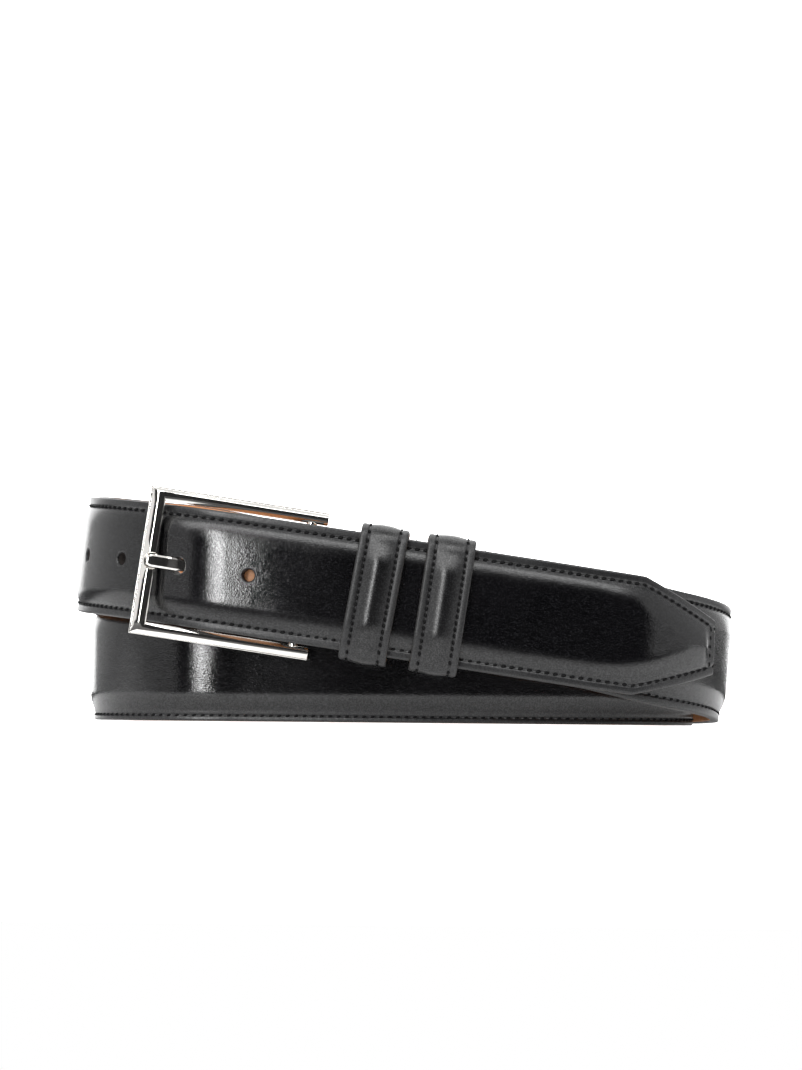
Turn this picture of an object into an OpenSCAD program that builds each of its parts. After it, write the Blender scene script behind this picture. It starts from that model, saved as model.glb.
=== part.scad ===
// Leather dress belt, fastened and coiled in two turns, standing on its edge.
// Millimetres. +Z is up, +X runs along the coil, -Y faces the buckle side.
// The origin is on the resting plane, below the middle of the coil.

/* [Strap] */
// Width of the strap
strap_w = 35; // [30:0.5:40]
// Thickness at the thin stitched edges
edge_t = 3; // [2.4:0.1:3.6]
// Thickness over the padded centre
crown_t = 4.3; // [3.8:0.1:5.4]
// Thickness of the tan lining
lining_t = 1.2; // [0.8:0.1:1.6]
// Thickness of the outer leather over the padding
skin_t = 1.4; // [1:0.1:1.8]
// Width of each unpadded margin
margin_w = 3.4; // [3.2:0.1:5]
// Width of each sloping shoulder
shoulder_w = 4.2; // [2:0.1:5]
// Length of the tapered tip
tip_len = 29; // [20:1:40]
// Width of the blunt end of the tip
tip_end_w = 14; // [12:0.5:24]
// Diameter of the punched holes
hole_d = 3.8; // [3:0.1:6]

/* [Coil] */
// Half the length of the coil, at the lining
coil_a = 96.2; // [90:0.1:110]
// Half the depth of the coil, at the lining
coil_b = 51.5; // [50:0.1:60]
// Radius of the two round ends, at the lining
end_r = 49; // [40:0.5:50]
// Slope of the buckled front run, in degrees
run_tilt = 8.28; // [4:0.01:10]
// Height of the buckled front run above the table, at the middle
run_z = 35.9; // [34:0.1:40]
// Length of one facet of the strap, as a share of a quarter turn
facet = 0.05; // [0.04:0.01:0.1]

/* [Buckle] */
// Length of the frame from its front edge to the arm ends
buckle_len = 52.9; // [48:0.1:58]
// Height of the frame over both arms
buckle_h = 43.8; // [40:0.1:46]
// Width of the front bar
front_bar_w = 4.8; // [4:0.1:6]
// Width of each arm
arm_w = 3.8; // [3:0.1:5]
// Thickness of the frame
buckle_t = 3; // [2.4:0.1:4]
// Distance from the front edge of the frame to the pivot bar
pivot_back = 48.2; // [44:0.1:50]
// Radius of the pivot bar
bar_r = 1.6; // [1.2:0.1:2]
// Radius of the bar's ends, in the arms
bar_end_r = 1.2; // [0.8:0.1:1.3]
// Turn of the frame away from the front run, in degrees
frame_yaw = 3.6; // [2.6:0.1:6]
// Width of the prong
prong_w = 3.6; // [2.8:0.1:4.5]
// Thickness of the prong
prong_t = 2; // [1.6:0.1:2.6]

/* [Keepers] */
// Width of each keeper along the strap
keeper_w = 14; // [10:0.5:18]
// Height of each keeper over the strap edges
keeper_h = 40.4; // [39:0.1:43]
// Rise of the domed middle of a keeper
dome_h = 1.3; // [0.8:0.1:2]
// Width of the padding inside a keeper
keeper_pad_w = 6.2; // [5:0.1:7]
// Distance along the strap from the coil's middle to the first keeper
keeper_1_x = -9.5; // [-12:0.1:-8]
// Lean of the first keeper off square, in degrees
keeper_1_lean = 1.6; // [0:0.1:2]
// Distance along the strap from the coil's middle to the second keeper
keeper_2_x = 10.4; // [8:0.1:12]

/* [Hidden] */
$fn = 32;

leather = [0.05, 0.05, 0.055];
pad = [0.35, 0.3, 0.26];
tan_leather = [0.69, 0.39, 0.2];
thread = [0.09, 0.09, 0.1];
nickel = [0.8, 0.78, 0.75];

half_w = strap_w / 2;
middle = [0.54, 2.5];
flat_turn = 2 * atan((coil_b - end_r) / (coil_a - end_r));
front_r = end_r + (coil_a - end_r) / sin(flat_turn);
front_c = front_r - coil_b;
front_len = front_r * flat_turn * PI / 180;
quarter = front_len + end_r * (90 - flat_turn) * PI / 180;

// Places along the path are counted in quarter turns from the middle of the front.
chape_q = -31 / quarter;
chape_pad_q = 27 / quarter;
chape_start_q = chape_q + 4.2 / quarter;
bend_q = 6.92;
lap_q = 7.76;
flex_q = 8.24;
flex_gap = 0.3 / quarter;
tip_q = 8.76;
turnback_q = 27 / quarter;
hole_qs = [7.632, 7.312, 7.158, 7.004];

// Offset of the lining from the coil outline, along the path
offset_knots = [
  [-1, -2.8], [0.6, -2.8], [1, -1.14], [2, 0], [2.5, -0.5], [2.78, -2.8], [3, -3.8],
  [3.3, -9], [3.62, -14.4], [4, -15.2], [4.5, -15], [5, -10.8], [6, -7], [6.5, -6.4],
  [6.85, -0.5], [7, 0], [7.38, 0.2], [7.52, 0.9], [7.74, 1.2], [8.2, 1.2], [8.32, 2.1],
  [8.6, 2.1], [9, 4.9],
];

// Height of the middle of the strap, between the two sloping front runs
height_knots = [
  [0.3, run_height(0.3)], [0.42, run_height(0.42)], [0.64, 23], [0.763, 21.2], [0.843, 20.2],
  [1, 18.6], [1.3, 17.85], [1.6, half_w], [5.1, half_w], [5.5, 24.5], [6, 39.2], [6.16, 42.6], [6.3, 45.8],
  [6.5, 50], [6.62, 51.5], [6.82, 52.1], [7, 50.7], [7.15, run_height(7.15)],
  [7.3, run_height(7.3)],
];

// Lean of the strap about its own length, in degrees
lean_knots = [[-1, 0], [0.62, 0], [1.05, -7], [1.6, 0], [6.55, 0], [7, 6], [7.4, 0], [9, 0]];

function unit(v) = v / norm(v);
function slope(k, i) = (k[i + 1][1] - k[i][1]) / (k[i + 1][0] - k[i][0]);
function tangent(k, i) =
  i <= 0 || i >= len(k) - 1 ? 0
  : let (a = slope(k, i - 1), b = slope(k, i)) a * b <= 0 ? 0 : 2 * a * b / (a + b);
function segment(k, q, i = 0) = i >= len(k) - 2 || q < k[i + 1][0] ? i : segment(k, q, i + 1);
function eased(k, q) =
  let (
    i = segment(k, q),
    h = k[i + 1][0] - k[i][0],
    u = min(1, max(0, (q - k[i][0]) / h))
  )
  (2 * u ^ 3 - 3 * u ^ 2 + 1) * k[i][1] + (u ^ 3 - 2 * u ^ 2 + u) * h * tangent(k, i)
  + (3 * u ^ 2 - 2 * u ^ 3) * k[i + 1][1] + (u ^ 3 - u ^ 2) * h * tangent(k, i + 1);
function step01(a, b, q) = let (u = min(1, max(0, (q - a) / (b - a)))) u * u * (3 - 2 * u);

function turned(r) = 180 / PI * (r < front_len ? r / front_r
  : flat_turn * PI / 180 + (r - front_len) / end_r);
function bearing(q) =
  let (k = floor(q), r = (q - k) * quarter)
  k % 2 == 0 ? 90 * k - 90 + turned(r) : 90 * k - turned(quarter - r);
function outline(q, e) =
  let (
    a = bearing(q),
    broad = abs(sin(a)) > cos(flat_turn),
    c = broad ? [0, -sign(sin(a)) * front_c] : [sign(cos(a)) * (coil_a - end_r), 0]
  )
  middle + c + ((broad ? front_r : end_r) + e) * [cos(a), sin(a)];
function run_height(q) = run_z - tan(run_tilt) * (outline(q, 0) - middle)[0];
function height(q) =
  q < 0.42 || q > 7.15 ? run_height(q) : eased(height_knots, q);
function centre(q) =
  let (p = outline(q, eased(offset_knots, q))) [p[0], p[1], height(q)];

// Frame at a place on the path: [origin, outward, across]
function frame(q) =
  let (
    t = unit(centre(q + 0.01) - centre(q - 0.01)),
    a = bearing(q),
    o = [cos(a), sin(a), 0],
    n = unit(o - (o * t) * t),
    w = cross(n, t),
    s = eased(lean_knots, q)
  )
  [centre(q), cos(s) * n + sin(s) * w, cos(s) * w - sin(s) * n];
function place(q, n, w) = let (f = frame(q)) f[0] + n * f[1] + w * f[2];

// Half width and padding along the path
function from_tip(q) = (tip_q - q) * quarter * 1.06;
function half(q) =
  let (d = from_tip(q))
  d > tip_len ? half_w
  : d > 1.4 ? tip_end_w / 2 + 1.4 + (half_w - tip_end_w / 2 - 1.4) * (d - 1.4) / (tip_len - 1.4)
  : tip_end_w / 2 + d;
function padding(q) =
  min(step01(chape_pad_q, chape_pad_q + 0.08, q), step01(margin_w, margin_w + 3, from_tip(q)));

function stations(a, b) =
  let (n = ceil((b - a) / facet)) [for (i = [0:n]) a + (b - a) * i / n];
function tip_stations(a) =
  concat(
    stations(a, tip_q - tip_len / quarter / 1.06),
    [for (d = [22, 15, 9, 7, 5.5, 4, 2.5, 1.4, 0.6, 0]) tip_q - d / quarter / 1.06]
  );

function rise(q, base, top) = base + (top - base) * padding(q);
function skin_section(q) =
  let (
    h = half(q),
    m = h - margin_w,
    s = max(0.5, m - shoulder_w),
    k = rise(q, lining_t, crown_t - skin_t),
    c = rise(q, edge_t, crown_t)
  )
  [
    [lining_t, -h], [lining_t, -m], [k, -s], [k, s], [lining_t, m], [lining_t, h],
    [edge_t - 0.3, h], [edge_t, h - 0.3], [edge_t, m + 0.4], [c, s + 0.4], [c, -s - 0.4],
    [edge_t, -m - 0.4], [edge_t, 0.3 - h], [edge_t - 0.3, -h],
  ];
function core_section(q) =
  let (m = half(q) - margin_w, s = max(0.5, m - shoulder_w), k = rise(q, lining_t, crown_t - skin_t))
  [[lining_t, -m], [lining_t, m], [k, s], [k, -s]];
function lining_section(q) =
  let (h = half(q), m = h - margin_w)
  [[0, -h], [0, h], [lining_t, h], [lining_t, m], [lining_t, -m], [lining_t, -h]];
function seam_in(q, side) =
  2.6 - (side < 0 ? 0.9 * min(step01(0.8, 1.3, q), step01(5.3, 4.9, q)) : 0);
function thread_section(q, side) =
  let (w = side * (half(q) - seam_in(q, side)))
  [[edge_t, w - 0.3], [edge_t, w + 0.3], [edge_t + 0.3, w + 0.3], [edge_t + 0.3, w - 0.3]];
function turnback_section(q) =
  let (n = -(2 * bar_r + 0.3) * (1 - step01(chape_q, chape_q + 0.13, q)) - 0.05)
  [[n - 2, 0.2 - half_w], [n - 2, half_w - 0.2], [n, half_w - 0.2], [n, 0.2 - half_w]];

// Solid from matching rings of [outward, across] points
module sweep(qs, rings) {
  m = len(rings[0]);
  last = len(qs) - 1;
  points = [
    for (i = [0:last]) let (f = frame(qs[i]))
      for (p = rings[i]) f[0] + p[0] * f[1] + p[1] * f[2],
  ];
  sides = [
    for (i = [0:last - 1], j = [0:m - 1])
      let (a = i * m + j, b = i * m + (j + 1) % m)
      each [[a, b + m, b], [a, a + m, b + m]],
  ];
  caps = [[for (j = [0:m - 1]) j], [for (j = [m - 1:-1:0]) last * m + j]];
  polyhedron(points, concat(sides, caps), convexity = 10);
}

module skin(qs) sweep(qs, [for (q = qs) skin_section(q)]);
module core(qs) sweep(qs, [for (q = qs) core_section(q)]);
module lining(qs) sweep(qs, [for (q = qs) lining_section(q)]);
module seam(qs, side) sweep(qs, [for (q = qs) thread_section(q, side)]);

// Places children at a point of the path: x along, -y outward, z across
module at_path(q) {
  f = frame(q);
  t = cross(f[2], f[1]);
  multmatrix([
    [-t[0], -f[1][0], f[2][0], f[0][0]],
    [-t[1], -f[1][1], f[2][1], f[0][1]],
    [-t[2], -f[1][2], f[2][2], f[0][2]],
  ])
    children();
}

// Places children in the buckle: origin on the pivot bar, x towards the arm ends
module at_buckle() {
  translate(place(chape_q, -bar_r - 0.2, 0)) rotate([0, run_tilt, 0]) rotate([0, 0, frame_yaw])
    children();
}

// Room the prong and the punched holes take out of the front run
module punched() {
  for (q = hole_qs)
    at_path(q) translate([0, 3, 0]) rotate([90, 0, 0]) cylinder(d = hole_d, h = 14);
  at_buckle() translate([-52, -prong_t - 1.35, -prong_w / 2 - 0.3])
    cube([46, prong_t + 0.65, prong_w + 0.6]);
}

module strap_outer() {
  color(leather) {
    skin(stations(chape_start_q, bend_q));
    skin(stations(lap_q, flex_q));
  }
}

module strap_core() {
  color(pad) {
    core(stations(chape_pad_q + 0.01, bend_q));
    core(stations(lap_q, flex_q));
  }
}

module strap_lining() {
  color(tan_leather) {
    lining(stations(chape_start_q, bend_q));
    lining(stations(lap_q, flex_q));
  }
}

module strap_thread(side) {
  color(thread) {
    seam(stations(chape_start_q + 0.01, bend_q), side);
    seam(stations(lap_q, flex_q), side);
  }
}

module strap_thread_upper() strap_thread(1);
module strap_thread_lower() strap_thread(-1);

module front_outer() {
  color(leather) difference() {
    skin(stations(bend_q, lap_q));
    punched();
  }
}

module front_core() {
  color(pad) difference() {
    core(stations(bend_q, lap_q));
    punched();
  }
}

module front_lining() {
  color(tan_leather) difference() {
    lining(stations(bend_q, lap_q));
    punched();
  }
}

module front_thread_upper() color(thread) seam(stations(bend_q, lap_q), 1);
module front_thread_lower() color(thread) seam(stations(bend_q, lap_q), -1);

module tip_outer() color(leather) skin(tip_stations(flex_q + flex_gap));

module tip_core() {
  qs = tip_stations(flex_q + flex_gap);
  color(pad) core([for (q = qs) if (from_tip(q) > margin_w + 0.5) q]);
}

module tip_lining() color(tan_leather) lining(tip_stations(flex_q + flex_gap));

module tip_thread() {
  qs = [for (q = tip_stations(flex_q + flex_gap)) if (from_tip(q) > 3.6) q];
  end = half(tip_q) - 2.2;
  color(thread) {
    seam(qs, 1);
    seam(qs, -1);
    at_path(tip_q - 2.8 / quarter)
      translate([-0.3, -edge_t - 0.3, -end]) cube([0.6, 0.3, 2 * end]);
  }
}

// Leather turned round the pivot bar and back behind the strap
module chape_fold() {
  qs = stations(chape_q + 0.02, turnback_q);
  bend_in = bar_r + 0.1;
  color(leather) {
    difference() {
      at_buckle() rotate([0, 0, -frame_yaw]) {
        difference() {
          translate([0, 0, 0.2 - half_w]) cylinder(r = bend_in + 2, h = strap_w - 0.4);
          translate([0, 0, -half_w]) cylinder(r = bend_in, h = strap_w);
          translate([0, -10, -half_w]) cube([20, 20, strap_w]);
        }
        translate([0, bend_in, 0.2 - half_w]) cube([2.3, 2, strap_w - 0.4]);
        translate([0, -bend_in - 2, 0.2 - half_w]) cube([4.1, 2, strap_w - 0.4]);
      }
      prong_slot();
    }
    difference() {
      sweep(qs, [for (q = qs) turnback_section(q)]);
      prong_slot();
    }
  }
}

module prong_slot() {
  at_buckle() translate([-8, -8, -prong_w / 2 - 0.4]) cube([11.9, 14, prong_w + 0.8]);
}

// Rows of heavy thread that hold the fold and the keepers' ends
module cross_stitches() {
  color(thread)
    for (x = [-18.2, 0.2, 20.4]) at_path(x / quarter) difference() {
      translate([-0.35, -edge_t - 0.45, -half_w - 0.45]) cube([0.7, edge_t + 2.95, strap_w + 0.9]);
      translate([-1, -edge_t, -half_w]) cube([2, edge_t + 2.05, strap_w]);
    }
}

// Keeper pieces: x along the strap, -y outward from the lining, z across
lap_n = 4;
room_back = 2.9;
room_front = lap_n + crown_t + 0.35;
wall = 1.1;

module keeper_ring(grow, width, r) {
  rotate([90, 0, 90])
    linear_extrude(width, center = true)
      translate([-room_front - grow, -keeper_h / 2 + 2 * wall - grow]) {
        w = room_front + room_back + 2 * grow;
        h = keeper_h - 4 * wall + 2 * grow;
        translate([r, 0]) square([w - 2 * r, h]);
        translate([0, r]) square([w, h - 2 * r]);
        for (x = [r, w - r], y = [r, h - r]) translate([x, y]) circle(r);
      }
}

module keeper_lining_shape() {
  difference() {
    keeper_ring(wall, keeper_w - 1, 1.2);
    keeper_ring(0, keeper_w + 2, 0.3);
  }
}

module keeper_filler_shape() {
  w = keeper_pad_w;
  h = keeper_h - 4 * wall - 3;
  r = (w * w / 4 + dome_h * dome_h) / (2 * dome_h);
  intersection() {
    translate([0, -room_front - wall - dome_h + r, -h / 2]) cylinder(r = r, h = h, $fn = 96);
    translate([-w, -room_front - wall - dome_h, -h]) cube([2 * w, dome_h, 2 * h]);
  }
}

module keeper_skin_shape() {
  w = keeper_pad_w + 2 * wall;
  t = dome_h + wall;
  h = keeper_h - 4 * wall;
  r = (w * w / 4 + t * t) / (2 * t);
  difference() {
    union() {
      keeper_ring(2 * wall, keeper_w, 2.2);
      intersection() {
        translate([0, -room_front - wall - t + r, -h / 2]) cylinder(r = r, h = h, $fn = 96);
        translate([-w, -room_front - wall - t, -h]) cube([2 * w, t + 0.5, 2 * h]);
      }
    }
    keeper_ring(wall, keeper_w + 2, 1.2);
    keeper_filler_shape();
  }
}

module keeper_thread_shape() {
  n = 13;
  for (s = [-1, 1], i = [0:n - 1])
    translate([s * 4.65 - 0.25, -room_front - 2 * wall - 0.3, (i - (n - 1) / 2) * 2.6 - 0.95])
      cube([0.5, 0.3, 1.9]);
}

module at_keeper(x, lean = 0) at_path(x / quarter) rotate([0, lean, 0]) children();

module keeper_1_skin() color(leather) at_keeper(keeper_1_x, keeper_1_lean) keeper_skin_shape();
module keeper_1_filler() color(pad) at_keeper(keeper_1_x, keeper_1_lean) keeper_filler_shape();
module keeper_1_lining() color(tan_leather) at_keeper(keeper_1_x, keeper_1_lean) keeper_lining_shape();
module keeper_1_thread() color(thread) at_keeper(keeper_1_x, keeper_1_lean) keeper_thread_shape();
module keeper_2_skin() color(leather) at_keeper(keeper_2_x) keeper_skin_shape();
module keeper_2_filler() color(pad) at_keeper(keeper_2_x) keeper_filler_shape();
module keeper_2_lining() color(tan_leather) at_keeper(keeper_2_x) keeper_lining_shape();
module keeper_2_thread() color(thread) at_keeper(keeper_2_x) keeper_thread_shape();

// Three-sided outline of the buckle, open towards the arm ends
module buckle_outline(inset) {
  difference() {
    translate([-pivot_back + inset, -buckle_h / 2 + inset])
      square([buckle_len - 2 * inset, buckle_h - 2 * inset]);
    translate([-pivot_back + front_bar_w - inset, -buckle_h / 2 + arm_w - inset])
      square([buckle_len, buckle_h - 2 * arm_w + 2 * inset]);
  }
}

module buckle_frame() {
  color(nickel) at_buckle() difference() {
    union() {
      rotate([90, 0, 0]) linear_extrude(buckle_t - 0.8, center = true) buckle_outline(0);
      rotate([90, 0, 0]) linear_extrude(buckle_t, center = true) buckle_outline(0.5);
      rotate([90, 0, 0]) linear_extrude(buckle_t - 0.4, center = true) buckle_outline(0.25);
    }
    translate([0, 0, -buckle_h / 2 + 1.2]) cylinder(r = bar_end_r, h = buckle_h - 2.4);
    translate([-44.7, -0.75, 0]) rotate([90, 0, 0]) cylinder(r = 2.6, h = 4);
  }
}

module pivot_bar() {
  color(nickel) at_buckle() {
    translate([0, 0, -buckle_h / 2 + 1.2]) cylinder(r = bar_end_r, h = buckle_h - 2.4);
    translate([0, 0, -buckle_h / 2 + arm_w]) cylinder(r = bar_r, h = buckle_h - 2 * arm_w);
  }
}

module prong() {
  back = -1.05;
  color(nickel) at_buckle() difference() {
    union() {
      translate([0, 0, -prong_w / 2]) cylinder(r = prong_t + 1.05, h = prong_w);
      translate([-44.6, back - prong_t, -prong_w / 2]) cube([44.6, prong_t, prong_w]);
      translate([-44.6, back, 0]) rotate([90, 0, 0]) cylinder(d = prong_w, h = prong_t);
    }
    translate([0, 0, -prong_w]) cylinder(r = bar_r + 0.06, h = 2 * prong_w);
  }
}

strap_outer();
strap_core();
strap_lining();
strap_thread_upper();
strap_thread_lower();
front_outer();
front_core();
front_lining();
front_thread_upper();
front_thread_lower();
tip_outer();
tip_core();
tip_lining();
tip_thread();
chape_fold();
cross_stitches();
keeper_1_skin();
keeper_1_filler();
keeper_1_lining();
keeper_1_thread();
keeper_2_skin();
keeper_2_filler();
keeper_2_lining();
keeper_2_thread();
buckle_frame();
pivot_bar();
prong();
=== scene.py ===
import math

import bmesh
import bpy
import numpy as np
from mathutils import Matrix, Vector


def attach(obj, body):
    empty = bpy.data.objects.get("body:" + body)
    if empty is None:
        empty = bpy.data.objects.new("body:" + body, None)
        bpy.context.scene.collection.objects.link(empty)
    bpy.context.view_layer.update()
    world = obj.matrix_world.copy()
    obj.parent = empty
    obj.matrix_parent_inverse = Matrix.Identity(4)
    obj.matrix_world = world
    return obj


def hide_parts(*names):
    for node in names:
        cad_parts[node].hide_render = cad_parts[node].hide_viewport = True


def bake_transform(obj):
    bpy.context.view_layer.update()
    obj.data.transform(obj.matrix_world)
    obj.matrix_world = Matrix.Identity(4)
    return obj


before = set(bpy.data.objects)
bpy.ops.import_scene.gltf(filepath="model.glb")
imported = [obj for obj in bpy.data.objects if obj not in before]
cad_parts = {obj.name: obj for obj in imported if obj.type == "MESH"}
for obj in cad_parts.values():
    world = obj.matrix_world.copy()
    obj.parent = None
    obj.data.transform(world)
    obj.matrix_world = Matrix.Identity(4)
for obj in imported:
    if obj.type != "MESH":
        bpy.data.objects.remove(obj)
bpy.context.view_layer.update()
MM = 0.001

# Sizes in millimetres, as in the solids; the crown, the margins and the holes are shaped finer here
STRAP_W = 35.0
HALF = STRAP_W / 2
EDGE_T = 3.0
CROWN_T = 4.3
MARGIN = 3.1
SHOULDER = 5.6
STITCH_IN = 2.6
STITCH_PITCH = 2.5
TIP_LEN = 29.0
TIP_END_W = 14.0
TIP_CORNER = 1.4
HOLE_R = 1.75
HOLE_RIM = 0.65
PRONG_HOLE_R = 2.35
COIL_A = 96.2
COIL_B = 51.5
END_R = 49.0
RUN_TILT = math.radians(8.28)
RUN_Z = 35.9
MIDDLE = np.array([0.54, 2.5])
BUCKLE_LEN = 52.9
BUCKLE_H = 43.8
FRONT_BAR_W = 4.8
ARM_W = 3.8
PIVOT_BACK = 48.2
BAR_R = 1.6
FRAME_YAW = math.radians(3.6)
PRONG_W = 3.6
PRONG_T = 2.0
KEEPER_W = 14.0
KEEPER_H = 40.4
KEEPER_ROW = 4.6
KEEPER_PITCH = 1.9
KEEPER_FALL = 1.3
DOME = 1.5
WALL = 1.1
ROOM_BACK = 2.9
ROOM_FRONT = 4 + CROWN_T + 0.35
BAR_BEHIND = BAR_R + 0.2
SEAT = EDGE_T - 0.02

# Length and radius of the stitches in each kind of row
STITCH = (1.6, 0.34)
LOW_STITCH = (1.35, 0.26)
KEEPER_STITCH = (1.35, 0.3)
CROSS_STITCH = (2.2, 0.32)


# ---------------------------------------------------------------- path
FLAT = 2 * math.atan((COIL_B - END_R) / (COIL_A - END_R))
FRONT_R = END_R + (COIL_A - END_R) / math.sin(FLAT)
FRONT_C = FRONT_R - COIL_B
FRONT_LEN = FRONT_R * FLAT
QUARTER = FRONT_LEN + END_R * (math.pi / 2 - FLAT)
CHAPE = -31 / QUARTER
CHAPE_START = CHAPE + 4.2 / QUARTER
CHAPE_PAD = 27 / QUARTER
BEND, SPLIT, LAP, FLEX, TIP = 6.92, 7.5, 7.76, 8.24, 8.76
HOLES = (7.632, 7.472, 7.312, 7.158, 7.004)


def turned(r):
    return r / FRONT_R if r < FRONT_LEN else FLAT + (r - FRONT_LEN) / END_R


def bearing(q):
    k = math.floor(q)
    r = (q - k) * QUARTER
    if k % 2 == 0:
        return math.pi / 2 * (k - 1) + turned(r)
    return math.pi / 2 * k - turned(QUARTER - r)


def outline(q, e):
    a = bearing(q)
    if abs(math.sin(a)) > math.cos(FLAT):
        c = np.array([0, -math.copysign(1, math.sin(a)) * FRONT_C])
        r = FRONT_R
    else:
        c = np.array([math.copysign(1, math.cos(a)) * (COIL_A - END_R), 0])
        r = END_R
    return MIDDLE + c + (r + e) * np.array([math.cos(a), math.sin(a)])


def run_height(q):
    return RUN_Z - math.tan(RUN_TILT) * (outline(q, 0) - MIDDLE)[0]


OFFSETS = (
    (-1, -2.8), (0.6, -2.8), (1, -1.14), (2, 0), (2.5, -0.5), (2.78, -2.8), (3, -3.8),
    (3.3, -9), (3.62, -14.4), (4, -15.2), (4.5, -15), (5, -10.8), (6, -7), (6.5, -6.4),
    (6.85, -0.5), (7, 0), (7.38, 0.2), (7.52, 0.9), (7.74, 1.2), (8.2, 1.2), (8.32, 2.1),
    (8.6, 2.1), (9, 4.9),
)
HEIGHTS = (
    (0.3, run_height(0.3)), (0.42, run_height(0.42)), (0.64, 23), (0.763, 21.2), (0.843, 20.2),
    (1, 18.6), (1.3, 17.85), (1.6, HALF), (5.1, HALF), (5.5, 24.5), (6, 39.2), (6.16, 42.6),
    (6.3, 45.8), (6.5, 50), (6.62, 51.5), (6.82, 52.1), (7, 50.7), (7.15, run_height(7.15)),
    (7.3, run_height(7.3)),
)
LEANS = ((-1, 0), (0.62, 0), (1.05, -7), (1.6, 0), (6.55, 0), (7, 6), (7.4, 0), (9, 0))


def eased(knots, q):
    def slope(i):
        return (knots[i + 1][1] - knots[i][1]) / (knots[i + 1][0] - knots[i][0])

    def tangent(i):
        if i <= 0 or i >= len(knots) - 1:
            return 0
        a, b = slope(i - 1), slope(i)
        return 0 if a * b <= 0 else 2 * a * b / (a + b)

    i = 0
    while i < len(knots) - 2 and q >= knots[i + 1][0]:
        i += 1
    h = knots[i + 1][0] - knots[i][0]
    u = min(1, max(0, (q - knots[i][0]) / h))
    return (
        (2 * u**3 - 3 * u**2 + 1) * knots[i][1]
        + (u**3 - 2 * u**2 + u) * h * tangent(i)
        + (3 * u**2 - 2 * u**3) * knots[i + 1][1]
        + (u**3 - u**2) * h * tangent(i + 1)
    )


def smooth(a, b, x):
    u = min(1, max(0, (x - a) / (b - a)))
    return u * u * (3 - 2 * u)


def centre(q):
    p = outline(q, eased(OFFSETS, q))
    z = run_height(q) if q < 0.42 or q > 7.15 else eased(HEIGHTS, q)
    return np.array([p[0], p[1], z])


def axes(q):
    """Origin on the lining, outward, across and along directions at a place on the path."""
    t = centre(q + 0.01) - centre(q - 0.01)
    t /= np.linalg.norm(t)
    a = bearing(q)
    o = np.array([math.cos(a), math.sin(a), 0.0])
    n = o - o.dot(t) * t
    n /= np.linalg.norm(n)
    w = np.cross(n, t)
    s = math.radians(eased(LEANS, q))
    return centre(q), math.cos(s) * n + math.sin(s) * w, math.cos(s) * w - math.sin(s) * n, t


def place(q, n, w):
    c, out, across, _ = axes(q)
    return c + n * out + w * across


_qs = np.linspace(CHAPE - 0.1, TIP + 0.1, 6000)
_cs = np.array([centre(q) for q in _qs])
_ls = np.concatenate([[0], np.cumsum(np.linalg.norm(np.diff(_cs, axis=0), axis=1))])


def length_at(q):
    return float(np.interp(q, _qs, _ls))


def q_at(s):
    return float(np.interp(s, _ls, _qs))


TIP_S = length_at(TIP)


def half_at(s):
    """Half the strap's width, with the tapered tip."""
    d = TIP_S - s
    if d > TIP_LEN:
        return HALF
    if d > TIP_CORNER:
        a = TIP_END_W / 2 + TIP_CORNER
        return a + (HALF - a) * (d - TIP_CORNER) / (TIP_LEN - TIP_CORNER)
    d = max(d, 0)
    return TIP_END_W / 2 + math.sqrt(max(0, TIP_CORNER**2 - (TIP_CORNER - d) ** 2))


def crown_half(s):
    """Half width that the crown follows: the same outline with its corners rounded."""
    k = 1.4
    end = TIP_END_W / 2 + TIP_CORNER
    line = end + (HALF - end) * (TIP_S - s - TIP_CORNER) / (TIP_LEN - TIP_CORNER)
    return min(half_at(s), -k * math.log(math.exp(-HALF / k) + math.exp(-line / k)))


def padding(s):
    """How far the crown is raised: none over the fold, all along the strap, none at the very end."""
    start = length_at(CHAPE_PAD)
    return min(smooth(start, start + 10, s), smooth(MARGIN - 0.2, MARGIN + 3.2, TIP_S - s))


# ---------------------------------------------------------------- meshes
def new_object(name, verts, faces, material, sharp=40, attributes=None):
    mesh = bpy.data.meshes.new(name)
    mesh.from_pydata([tuple(v) for v in np.asarray(verts) * MM], [], faces)
    for key, values in (attributes or {}).items():
        a = mesh.attributes.new(key, "FLOAT", "POINT")
        a.data.foreach_set("value", np.asarray(values, np.float32))
    mesh.validate()
    mesh.polygons.foreach_set("use_smooth", [True] * len(mesh.polygons))
    mesh.set_sharp_from_angle(angle=math.radians(sharp))
    mesh.materials.append(material)
    obj = bpy.data.objects.new(name, mesh)
    bpy.context.scene.collection.objects.link(obj)
    return obj


def face_outward(obj):
    bm = bmesh.new()
    bm.from_mesh(obj.data)
    bmesh.ops.recalc_face_normals(bm, faces=bm.faces)
    bm.to_mesh(obj.data)
    bm.free()
    return obj


def loft(name, rings, material, sharp=40, attributes=None, loop=False):
    """A skin over rings of points: closed by caps, or back onto its first ring."""
    m = len(rings[0])
    last = (len(rings) - 1) * m
    faces = []
    for start in range(0, last, m):
        for j in range(m):
            a, b = start + j, start + (j + 1) % m
            faces.append((a, a + m, b + m, b))
    if loop:
        faces += [(last + j, j, (j + 1) % m, last + (j + 1) % m) for j in range(m)]
    else:
        faces += [tuple(range(m)), tuple(reversed(range(last, last + m)))]
    return face_outward(new_object(name, np.concatenate(rings), faces, material, sharp, attributes))


def whole_turn(count):
    return np.linspace(0, 2 * math.pi, count, endpoint=False)


def circle(radius, y, count=40, x=0.0):
    """Points of a circle about the Y axis."""
    return [(x + radius * math.cos(a), y, radius * math.sin(a)) for a in whole_turn(count)]


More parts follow.
